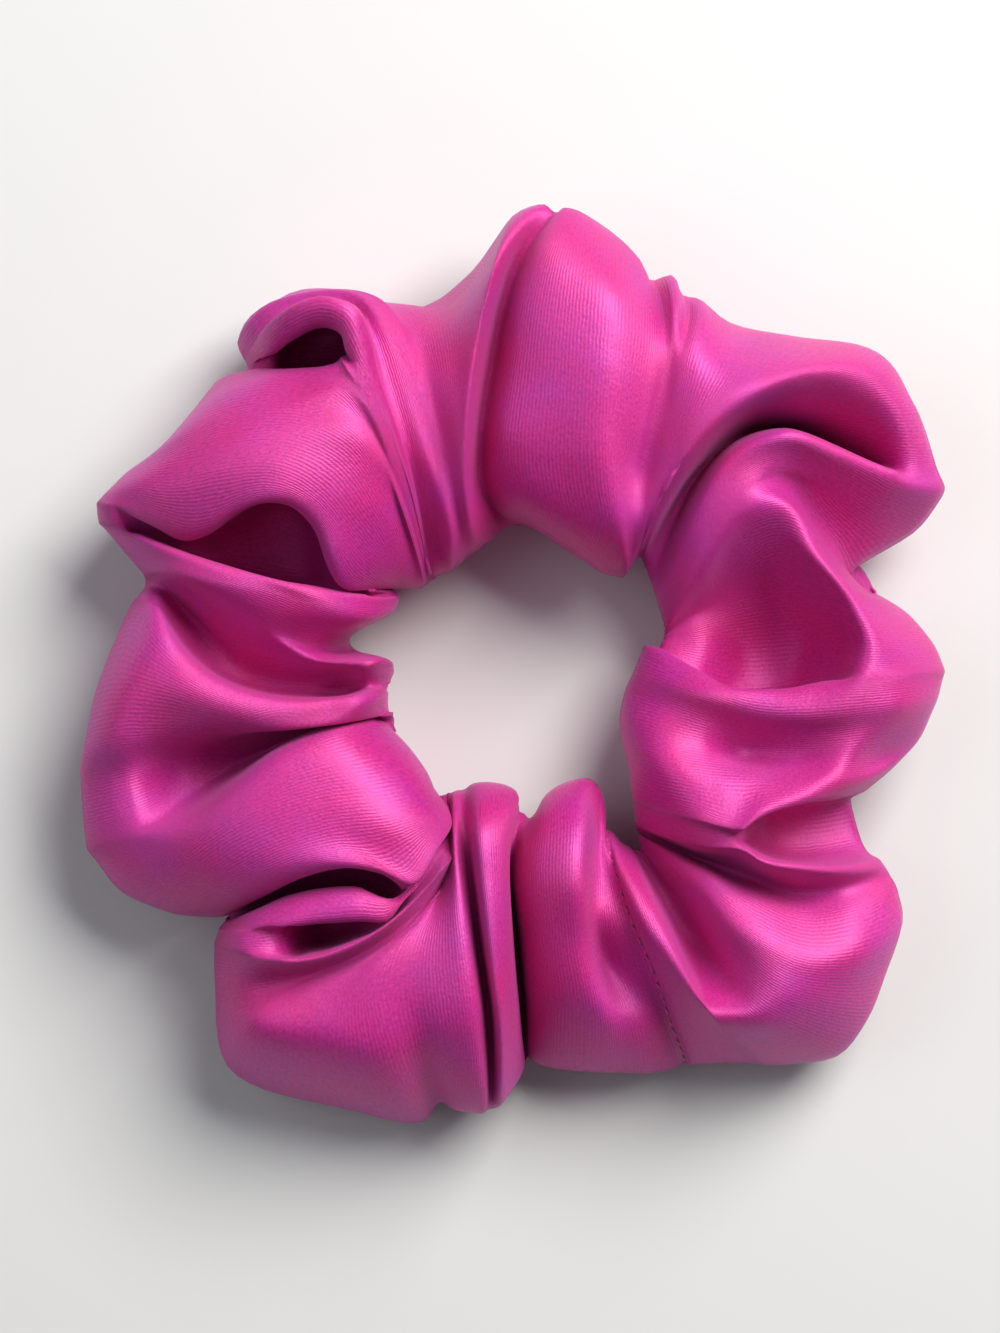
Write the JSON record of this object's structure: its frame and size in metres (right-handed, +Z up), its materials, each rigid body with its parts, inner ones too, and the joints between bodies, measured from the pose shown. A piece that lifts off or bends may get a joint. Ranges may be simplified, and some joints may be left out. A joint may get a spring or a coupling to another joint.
{
  "type": "scrunchie",
  "caption": "Full gathered satin scrunchie: a wide cloth sleeve bunched round a loop of flat elastic that stretches to take a ponytail.",
  "frame": {"origin": "middle of the ring's outer box, on the surface that it lies on", "axes": "+Z up out of the hole, +Y along the ring's longest side, +X towards the side that is pulled when it is stretched"},
  "size_m": [0.1211, 0.129, 0.034],
  "materials": {
    "satin": "satin",
    "elastic": "matte",
    "tack_thread": "matte",
    "sewing_thread": "satin"
  },
  "bodies": {
    "left_side": {"sleeve_left": "satin", "elastic_left": "elastic", "long_seam_thread_left": "sewing_thread"},
    "right_side": {"sleeve_right": "satin", "elastic_right": "elastic", "elastic_tack_thread": "tack_thread", "long_seam_thread_right": "sewing_thread", "cross_seam_thread": "sewing_thread", "closing_stitch_thread": "sewing_thread"}
  },
  "joints": [
    {"name": "stretch", "type": "slide", "parent": "left_side", "child": "right_side", "axis": [1, 0, 0], "range_m": [0, 0.1], "stiffness_N_per_m": 60}
  ]
}
